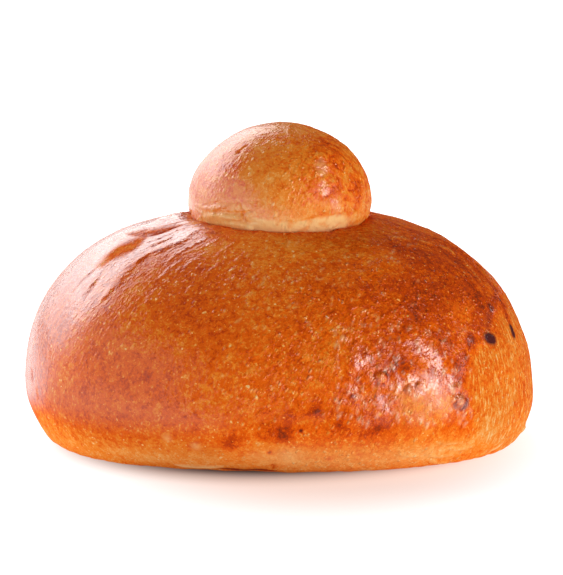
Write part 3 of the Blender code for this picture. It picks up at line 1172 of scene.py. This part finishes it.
class BREAD_OT_bun_crust(bpy.types.Operator):
    """Makes the bun's browned crust, with its gathers, blisters and flat underside"""

    bl_idname = "bread.bun_crust"
    bl_label = "Bun Crust"

    def execute(self, context):
        stops = (0.0, 0.30, 0.34, BELLY, FOOT, 2.1, UNDERSIDE)
        shares = even_shares(bun_form, BUN_RINGS, stops, (0.1, 0.3, 1, 1, 1, 0.1, 0.1))
        skin = make_skin(bun_form, BUN_RINGS, BUN_SEGMENTS, shares, Vector((0, 0, 0)), 4.0)
        shape_bun(skin)
        mark_bun(skin)
        lift_foot(skin)
        press_seam(skin)
        settings = context.scene.roll_settings
        bake_skin(skin, "bun_crust", "bun", settings, 0.0, 1.0, BUN_COAT_ROUGHNESS)
        return {"FINISHED"}


def shape_knot(skin):
    """Spreads the topknot's egg wash, grit and browning, and works in its folds and creases."""
    x, _, z = skin.points.T
    fields = skin.fields
    right = smooth_step(x, -8 * MM, 8 * MM)
    fields["gloss"] += 1.0 - 0.75 * right
    fields["gloss"] -= 0.25 * (1 - right) * smooth_step(z, 58 * MM, 67 * MM)
    fields["bake"] += 0.11 * smooth_step(x, -4 * MM, -14 * MM) - 0.02
    fields["bake"] -= 0.10 * smooth_step(z, 60 * MM, 54 * MM)
    fields["grit"] += 0.10 + 0.30 * right
    swell(skin, 0.35 * MM, 14 * MM, seed=7)
    swell(skin, 0.05 * MM + 0.06 * MM * right, 3 * MM, seed=13)
    draw_strokes(skin, KNOT_WORK + KNOT_HIGHLIGHTS)
    veins = ridge_field(skin.wander, 3.2 * MM, seed=15) ** 3
    veins += 0.6 * ridge_field(skin.wander, 1.7 * MM, seed=18) ** 3
    veins *= smooth_step(x, 2 * MM, 12 * MM)
    fields["bake"] += 0.15 * (veins - 0.2)
    fields["lift"] -= 0.10 * MM * veins


def pale_base(skin):
    """The pale, matt band of an uneven height that runs round the front of the topknot's base."""
    x, _, z = skin.points.T
    uneven = z + 0.9 * MM * noise_field(skin.points, 4 * MM, seed=16)
    uneven += 0.5 * MM * noise_field(skin.points, 1.5 * MM, seed=26)
    band = smooth_step(uneven, 53.6 * MM, 52.7 * MM)
    band *= smooth_step(x, -9 * MM, -5 * MM) * smooth_step(x, 18 * MM, 13 * MM)
    band *= 1 - 0.55 * smooth_step(noise_field(skin.points, 1.8 * MM, seed=29), 0.0, 0.35)
    skin.fields["pale"] += 0.88 * band
    skin.fields["gloss"] -= 0.5 * band


class BREAD_OT_knot_crust(bpy.types.Operator):
    """Makes the topknot's crust, with its folded lip, its pale base and its creases"""

    bl_idname = "bread.knot_crust"
    bl_label = "Topknot Crust"

    def execute(self, context):
        shares = even_shares(knot_form, KNOT_RINGS, (0.0, BELLY, 1.5, 2.0), (1, 1, 0.6, 0.2))
        centre = Vector((KNOT_CENTRE.x, KNOT_CENTRE.y, 0))
        skin = make_skin(knot_form, KNOT_RINGS, KNOT_SEGMENTS, shares, centre, 2.0)
        shape_knot(skin)
        pale_base(skin)
        everywhere = np.ones(len(skin.points))
        scatter_blisters(skin, 250, 9, 0.4 * MM, 0.8 * MM, 0.06 * MM, everywhere)
        settings = context.scene.roll_settings
        bake_skin(skin, "knot_crust", "topknot", settings, 0.08, 0.5, KNOT_COAT_ROUGHNESS)
        return {"FINISHED"}


def aim_at(thing, place, target):
    """Puts a lamp or a camera at a place and turns it towards the target."""
    thing.location = place
    thing.rotation_euler = (Vector(target) - Vector(place)).to_track_quat("-Z", "Y").to_euler()


# Lamps round the roll: degrees anticlockwise from its right and above the table, metres from
# its middle, metres across and high, the setting that powers the lamp, and its share of that
Softbox = namedtuple("Softbox", "name azimuth elevation distance size power share")
SOFTBOXES = (
    Softbox("left_softbox", 129, 39, 0.90, (1.16, 0.52), "key_power", 1.0),
    Softbox("left_strip", 134, 14, 0.90, (1.36, 0.36), "key_power", 0.44),
    Softbox("right_softbox", -33, 15, 0.90, (0.76, 0.60), "fill_power", 0.80),
    Softbox("right_window", -29, 15, 0.88, (0.46, 0.26), "fill_power", 0.28),
    Softbox("left_reflector", 200, 15, 0.90, (1.30, 0.80), "reflector_power", 1.0),
)


def add_softbox(box, settings):
    """A rectangular lamp at a direction and distance from the roll's middle, facing it."""
    lamp = bpy.data.lights.new(box.name, "AREA")
    lamp.shape = "RECTANGLE"
    lamp.size, lamp.size_y = box.size
    lamp.energy = box.share * getattr(settings, box.power)
    made = bpy.data.objects.new(box.name, lamp)
    bpy.context.scene.collection.objects.link(made)
    azimuth, elevation = math.radians(box.azimuth), math.radians(box.elevation)
    flat = box.distance * math.cos(elevation)
    height = box.distance * math.sin(elevation)
    place = (flat * math.cos(azimuth), flat * math.sin(azimuth), height)
    aim_at(made, Vector(place) + Vector((0, 0, CAMERA_AIM.z)), CAMERA_AIM)


FLOOR_RADIUS = 6.0
FLOOR_GREY = (0.30, 0.30, 0.30, 1.0)
WHITE = (1.0, 1.0, 1.0)
# Warm tint of the floor's glow round the roll: painted bounce light from the crust
PAINTED_BOUNCE_TINT = (1.0, 0.74, 0.64)


def floor_material():
    """White floor that glows as a lit backdrop does, with a painted shadow and warm painted bounce
    light round the roll.
    """
    material = bpy.data.materials.new("studio_floor")
    material.use_nodes = True
    tree = material.node_tree
    shader = tree.nodes["Principled BSDF"]
    set_values(shader, {"Base Color": FLOOR_GREY, "Roughness": 0.9, "Specular IOR Level": 0.0})
    place = add_node(tree, "ShaderNodeTexCoord").outputs["Object"]

    def length_from_middle(across, shift):
        values = {
            "Location": (-across * shift, 0.0, 0.0),
            "Scale": (across / BUN_HALF_WIDTH, 1 / BUN_HALF_DEPTH, 1.0),
        }
        scaled = add_node(tree, "ShaderNodeMapping", values, {"Vector": place}).outputs[0]
        measure = add_node(tree, "ShaderNodeVectorMath", None, {0: scaled}, operation="LENGTH")
        return measure.outputs["Value"]

    # Painted shadow: the glow is nothing at the roll's foot and rises away from it
    near = map_range(tree, length_from_middle(1.15, -0.07), 0.68, 1.10, 0.0, 0.80)
    wide = length_from_middle(2.0, 0.13)
    far = map_range(tree, wide, 1.0, 2.6, 0.0, 0.40)
    # Painted bounce light: the glow is tinted warm round the roll
    painted_bounce_share = map_range(tree, wide, 0.95, 2.1)
    painted_bounce_glow = mix_colour(tree, painted_bounce_share, PAINTED_BOUNCE_TINT, WHITE)
    tree.links.new(painted_bounce_glow, shader.inputs["Emission Color"])
    tree.links.new(math_node(tree, "ADD", near, far), shader.inputs["Emission Strength"])
    return material


class BREAD_OT_studio(bpy.types.Operator):
    """Makes the floor, the softboxes, the room's light and the camera"""

    bl_idname = "bread.studio"
    bl_label = "Studio"

    def execute(self, context):
        settings = context.scene.stage_settings
        mesh = bmesh.new()
        bmesh.ops.create_circle(mesh, cap_ends=True, radius=FLOOR_RADIUS, segments=96)
        data = bpy.data.meshes.new("studio_floor")
        mesh.to_mesh(data)
        mesh.free()
        floor = bpy.data.objects.new("studio_floor", data)
        data.materials.append(floor_material())
        context.scene.collection.objects.link(floor)

        for box in SOFTBOXES:
            add_softbox(box, settings)

        world = bpy.data.worlds.new("studio_room")
        context.scene.world = world
        world.use_nodes = True
        backdrop = world.node_tree.nodes["Background"]
        backdrop.inputs["Color"].default_value = (*settings.room_colour, 1.0)
        backdrop.inputs["Strength"].default_value = 1.0

        lens = bpy.data.cameras.new("photo_camera")
        lens.lens = CAMERA_LENS_MM
        lens.sensor_width = CAMERA_SENSOR_MM
        camera = bpy.data.objects.new("photo_camera", lens)
        context.scene.collection.objects.link(camera)
        aim_at(camera, camera_axes()[0], CAMERA_AIM)
        context.scene.camera = camera
        context.scene.view_settings.view_transform = "Standard"
        return {"FINISHED"}


class BREAD_PT_roll(bpy.types.Panel):
    """Lists the roll's pieces and its settings"""

    bl_label = "Bread Roll"
    bl_idname = "BREAD_PT_roll"
    bl_space_type = "VIEW_3D"
    bl_region_type = "UI"
    bl_category = "Bread Roll"

    def draw(self, context):
        for owner in (context.scene.roll_settings, context.scene.stage_settings):
            for name in type(owner).__annotations__:
                self.layout.prop(owner, name)
        for operator in OPERATORS:
            self.layout.operator(operator.bl_idname)


OPERATORS = (BREAD_OT_studio, BREAD_OT_bun_crust, BREAD_OT_knot_crust)
CLASSES = (RollSettings, StageSettings, *OPERATORS, BREAD_PT_roll)


def register():
    for made in CLASSES:
        bpy.utils.register_class(made)
    bpy.types.Scene.roll_settings = PointerProperty(type=RollSettings)
    bpy.types.Scene.stage_settings = PointerProperty(type=StageSettings)


def unregister():
    del bpy.types.Scene.stage_settings
    del bpy.types.Scene.roll_settings
    for made in reversed(CLASSES):
        bpy.utils.unregister_class(made)


def main():
    """Builds the studio and the roll."""
    register()
    crust_group()
    bpy.ops.bread.studio()
    bpy.ops.bread.bun_crust()
    bpy.ops.bread.knot_crust()


if __name__ == "__main__":
    main()
